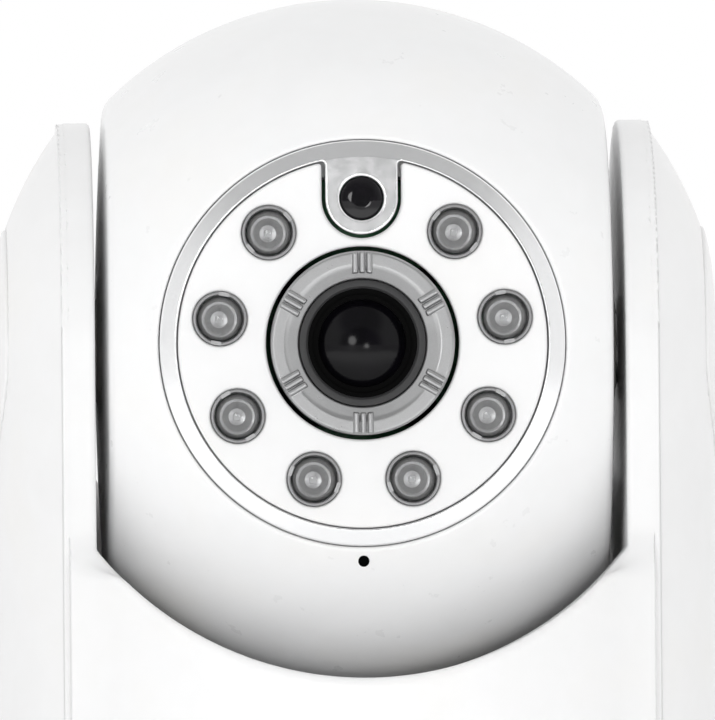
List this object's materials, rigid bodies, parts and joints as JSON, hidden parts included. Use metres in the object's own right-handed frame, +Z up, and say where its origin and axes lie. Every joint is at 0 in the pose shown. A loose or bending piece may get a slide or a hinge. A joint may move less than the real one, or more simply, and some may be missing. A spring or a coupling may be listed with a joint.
{
  "type": "baby monitor camera",
  "caption": "Ball-headed baby monitor camera that tilts in a two-armed yoke and pans on a round flared base, with a ring of infrared lamps round a focusable lens.",
  "frame": {"origin": "on the table under the pan axis, at the middle of the base's footprint", "axes": "+Z up; the lens looks along -Y at rest; +X is to the right seen from in front of the lens"},
  "size_m": [0.1, 0.1, 0.1222],
  "materials": {
    "base_white": "gloss moulded ABS, white",
    "yoke_white": "gloss moulded ABS, white",
    "head_white": "high gloss moulded ABS, white",
    "face_white": "satin white",
    "satin_silver": "satin silver paint on plastic",
    "bright_cup": "bright reflector",
    "clear_lamp": "water-clear epoxy",
    "dark_window": "polished smoke black",
    "lens_glass": "coated glass",
    "black_plastic": "black",
    "nylon": "natural acetal",
    "steel": "zinc plated",
    "brass": "machined",
    "board_green": "solder mask green",
    "rubber": "matt black",
    "button_grey": "grey",
    "light_pipe": "frosted clear"
  },
  "bodies": {
    "base": {"rubber_feet": "rubber", "base_cover": "base_white", "base_housing": "base_white", "base_screws": "steel", "base_inner_screws": "steel", "thread_insert": "brass", "main_board": "board_green", "speaker": "black_plastic", "dc_jack": "black_plastic", "switch_body": "black_plastic", "tact_switch": "black_plastic", "status_light": "light_pipe", "pan_motor": "steel", "pan_bearing": "nylon"},
    "power_knob": {"power_knob": "button_grey"},
    "pair_button": {"pair_button": "button_grey"},
    "pan_pinion": {"pan_pinion": "nylon"},
    "yoke": {"yoke_frame": "yoke_white", "arm_cover_left": "yoke_white", "arm_cover_right": "yoke_white", "pivot_cap_left": "yoke_white", "pivot_cap_right": "yoke_white", "turntable": "nylon", "turntable_screws": "steel", "pan_gear": "nylon", "pan_clip": "steel", "tilt_axle": "steel", "tilt_gear": "nylon", "arm_bush_left": "nylon", "arm_cable": "rubber"},
    "tilt_pinion": {"tilt_pinion": "nylon"},
    "head": {"head_front_shell": "head_white", "head_rear_shell": "head_white", "face_ring": "satin_silver", "lamp_plate": "face_white", "sensor_window": "dark_window", "light_sensor": "black_plastic", "ir_lamp_1": "clear_lamp", "ir_lamp_2": "clear_lamp", "ir_lamp_3": "clear_lamp", "ir_lamp_4": "clear_lamp", "ir_lamp_5": "clear_lamp", "ir_lamp_6": "clear_lamp", "ir_lamp_7": "clear_lamp", "ir_lamp_8": "clear_lamp", "lamp_cups": "bright_cup", "lamp_board": "board_green", "lens_holder": "black_plastic", "sensor_board": "board_green", "image_sensor": "black_plastic", "microphone": "steel", "tilt_motor": "steel", "left_trunnion": "nylon", "trunnion_clip": "steel", "head_bush_right": "nylon", "head_screws": "steel", "head_inner_screws": "steel"},
    "focus": {"focus_ring": "satin_silver", "lens_barrel": "black_plastic", "front_lens": "lens_glass"}
  },
  "joints": [
    {"name": "pan", "type": "hinge", "parent": "base", "child": "yoke", "pos_m": [0, 0, 0.03], "axis": [0, 0, 1], "range_deg": [-150, 150]},
    {"name": "tilt", "type": "hinge", "parent": "yoke", "child": "head", "pos_m": [0, 0, 0.082], "axis": [-1, 0, 0], "range_deg": [-25, 85]},
    {"name": "pan_pinion_spin", "type": "hinge", "parent": "base", "child": "pan_pinion", "pos_m": [0.03, 0, 0.024], "axis": [0, 0, 1], "range_deg": [-610, 610]},
    {"name": "tilt_pinion_spin", "type": "hinge", "parent": "head", "child": "tilt_pinion", "pos_m": [0.022, 0.0168, 0.082], "axis": [-1, 0, 0], "range_deg": [-70, 220]},
    {"name": "focus_turn", "type": "hinge", "parent": "head", "child": "focus", "pos_m": [0, -0.032, 0.082], "axis": [0, -1, 0], "range_deg": [-90, 90]},
    {"name": "power_slide", "type": "slide", "parent": "base", "child": "power_knob", "axis": [1, 0, 0], "range_m": [0, 0.003]},
    {"name": "pair_press", "type": "slide", "parent": "base", "child": "pair_button", "axis": [0, -1, 0], "range_m": [0, 0.0006], "stiffness_N_per_m": 500}
  ],
  "couplings": [
    {"joint": "pan_pinion_spin", "follows": "pan", "ratio": -4},
    {"joint": "tilt_pinion_spin", "follows": "tilt", "ratio": 2.5}
  ]
}
